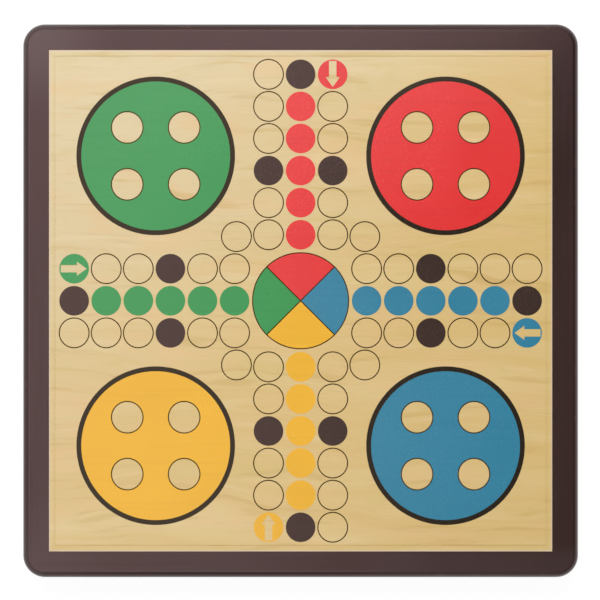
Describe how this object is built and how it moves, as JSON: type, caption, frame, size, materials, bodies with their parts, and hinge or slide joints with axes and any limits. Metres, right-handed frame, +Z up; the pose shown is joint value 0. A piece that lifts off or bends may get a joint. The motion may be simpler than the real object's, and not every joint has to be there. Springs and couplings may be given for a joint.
{
  "type": "folding ludo board box",
  "caption": "Flat square wooden game case of hinged trays: the lid's outer face is a printed ludo board, and pawns and a die lie in felt-lined compartments in the base.",
  "frame": {"origin": "middle of the underside, the flat face that the closed case lies on", "axes": "+X along the hinge line to the right, +Y from the front notch towards the hinge side, +Z up, out of the printed board"},
  "size_m": [0.29, 0.2904, 0.0361],
  "materials": {
    "frame_lacquer": "dark brown lacquer with a satin gloss",
    "board_wood": "pale wood, clear satin lacquer, straight grain",
    "panel_wood": "pale wood, thin clear lacquer",
    "key_wood": "bare, glued",
    "divider_wood": "fine sanded, bare",
    "felt": "short felt nap",
    "magnet_nickel": "bright nickel plating",
    "hinge_brass": "satin brass plating",
    "hinge_pin_steel": "drawn steel",
    "pawn_red": "glossy paint on turned wood",
    "pawn_green": "glossy paint on turned wood",
    "pawn_yellow": "glossy paint on turned wood",
    "pawn_blue": "glossy paint on turned wood",
    "die_wood": "pale wood with dark painted pips",
    "ink_red": "screen-printed ink under satin lacquer",
    "ink_green": "screen-printed ink under satin lacquer",
    "ink_yellow": "screen-printed ink under satin lacquer",
    "ink_blue": "screen-printed ink under satin lacquer",
    "ink_dark": "screen-printed ink under satin lacquer",
    "ink_outlines": "screen-printed ink under satin lacquer"
  },
  "bodies": {
    "base": {"base_front_rail": "frame_lacquer", "base_back_rail": "frame_lacquer", "base_left_rail": "frame_lacquer", "base_right_rail": "frame_lacquer", "base_panel": "panel_wood", "base_corner_keys": "key_wood", "base_lining": "felt", "long_divider": "divider_wood", "cross_divider_1": "divider_wood", "cross_divider_2": "divider_wood", "cross_divider_3": "divider_wood", "cross_divider_4": "divider_wood", "base_magnets": "magnet_nickel", "left_hinge_base_leaf": "hinge_brass", "right_hinge_base_leaf": "hinge_brass", "left_hinge_pin": "hinge_pin_steel", "right_hinge_pin": "hinge_pin_steel", "base_hinge_screws": "hinge_brass", "pawns_red": "pawn_red", "pawns_green": "pawn_green", "pawns_yellow": "pawn_yellow", "pawns_blue": "pawn_blue", "die": "die_wood"},
    "lid": {"lid_front_rail": "frame_lacquer", "lid_back_rail": "frame_lacquer", "lid_left_rail": "frame_lacquer", "lid_right_rail": "frame_lacquer", "board_panel": "board_wood", "lid_corner_keys": "key_wood", "lid_lining": "felt", "lid_magnets": "magnet_nickel", "left_hinge_lid_leaf": "hinge_brass", "right_hinge_lid_leaf": "hinge_brass", "lid_hinge_screws": "hinge_brass", "print_red": "ink_red", "print_green": "ink_green", "print_yellow": "ink_yellow", "print_blue": "ink_blue", "print_dark": "ink_dark", "print_outlines": "ink_outlines"}
  },
  "joints": [
    {"name": "lid_fold", "type": "hinge", "parent": "base", "child": "lid", "pos_m": [0, 0.14465, 0.018], "axis": [-1, 0, 0], "range_deg": [0, 180]}
  ]
}
